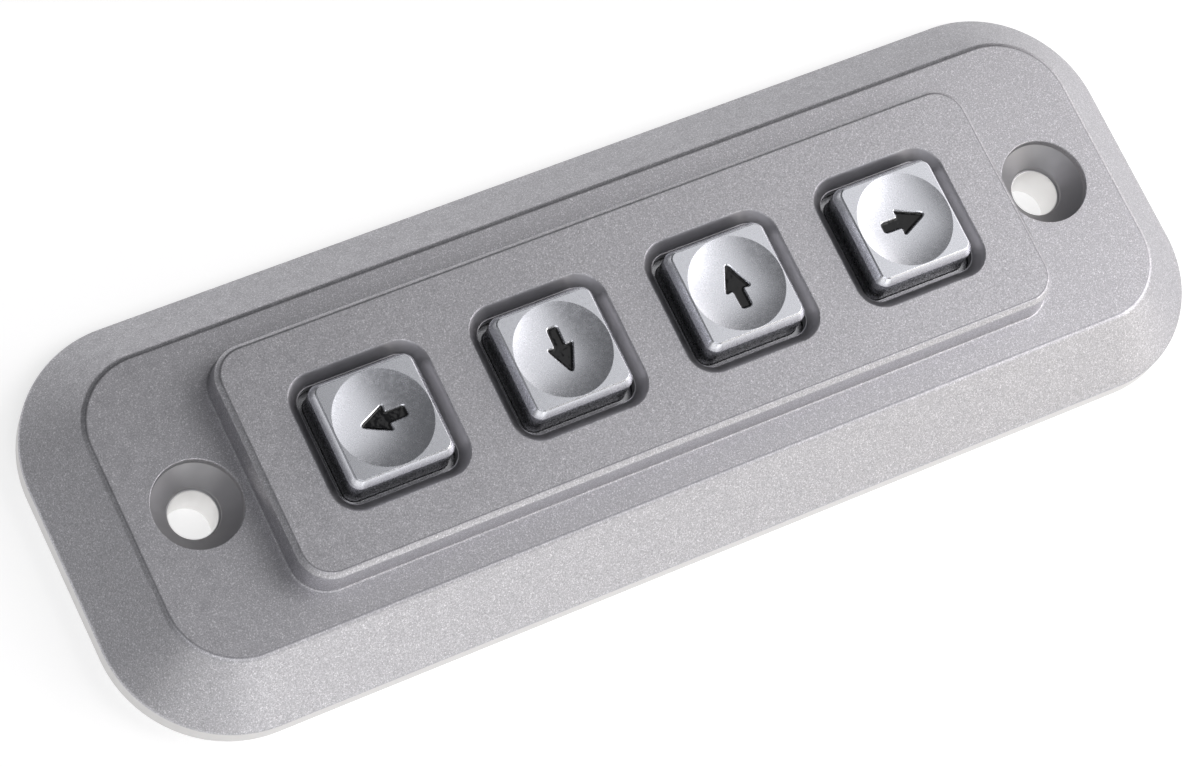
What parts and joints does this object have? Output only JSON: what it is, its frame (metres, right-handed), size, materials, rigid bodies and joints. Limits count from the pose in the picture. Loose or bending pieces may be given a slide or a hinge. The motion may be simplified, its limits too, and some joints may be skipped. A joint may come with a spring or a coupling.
{
  "type": "metal arrow keypad",
  "caption": "Rounded-rectangle die-cast bezel with a sloped border and a raised panel, a row of square dished metal keys marked with arrows, and countersunk screw holes at its ends.",
  "frame": {"origin": "middle of the bezel's flat back face, where it meets the panel that it is screwed to", "axes": "+X along the row of keys, from the left arrow to the right arrow; +Y towards the side that the up arrow points to; +Z out of the face, towards the user"},
  "size_m": [0.1188, 0.0422, 0.0132],
  "materials": {
    "bezel_paint": "fine metallic silver paint, satin",
    "key_chrome": "satin chrome, fine cast grain",
    "arrow_ink": "gloss black infill",
    "silicone": "matt black silicone",
    "carbon": "conductive carbon rubber",
    "board": "green solder mask",
    "header_plastic": "moulded black nylon",
    "pin_metal": "gold plated",
    "cover_metal": "zinc plated sheet",
    "screw_metal": "zinc plated",
    "gasket_rubber": "matt black neoprene"
  },
  "bodies": {
    "housing": {"bezel": "bezel_paint", "keymat": "silicone", "dome_left": "silicone", "dome_down": "silicone", "dome_up": "silicone", "dome_right": "silicone", "circuit_board": "board", "header": "header_plastic", "header_pin_1": "pin_metal", "header_pin_2": "pin_metal", "header_pin_3": "pin_metal", "header_pin_4": "pin_metal", "header_pin_5": "pin_metal", "header_pin_6": "pin_metal", "rear_cover": "cover_metal", "cover_screw_1": "screw_metal", "cover_screw_2": "screw_metal", "cover_screw_3": "screw_metal", "cover_screw_4": "screw_metal", "cover_screw_5": "screw_metal", "cover_screw_6": "screw_metal", "panel_gasket": "gasket_rubber"},
    "key_left": {"keycap_left": "key_chrome", "arrow_left": "arrow_ink", "contact_left": "carbon"},
    "key_down": {"keycap_down": "key_chrome", "arrow_down": "arrow_ink", "contact_down": "carbon"},
    "key_up": {"keycap_up": "key_chrome", "arrow_up": "arrow_ink", "contact_up": "carbon"},
    "key_right": {"keycap_right": "key_chrome", "arrow_right": "arrow_ink", "contact_right": "carbon"}
  },
  "joints": [
    {"name": "press_left", "type": "slide", "parent": "housing", "child": "key_left", "axis": [0, 0, -1], "range_m": [0, 0.0012], "stiffness_N_per_m": 1200, "springref_m": -0.0006, "deforming": ["dome_left"]},
    {"name": "press_down", "type": "slide", "parent": "housing", "child": "key_down", "axis": [0, 0, -1], "range_m": [0, 0.0012], "stiffness_N_per_m": 1200, "springref_m": -0.0006, "deforming": ["dome_down"]},
    {"name": "press_up", "type": "slide", "parent": "housing", "child": "key_up", "axis": [0, 0, -1], "range_m": [0, 0.0012], "stiffness_N_per_m": 1200, "springref_m": -0.0006, "deforming": ["dome_up"]},
    {"name": "press_right", "type": "slide", "parent": "housing", "child": "key_right", "axis": [0, 0, -1], "range_m": [0, 0.0012], "stiffness_N_per_m": 1200, "springref_m": -0.0006, "deforming": ["dome_right"]}
  ]
}
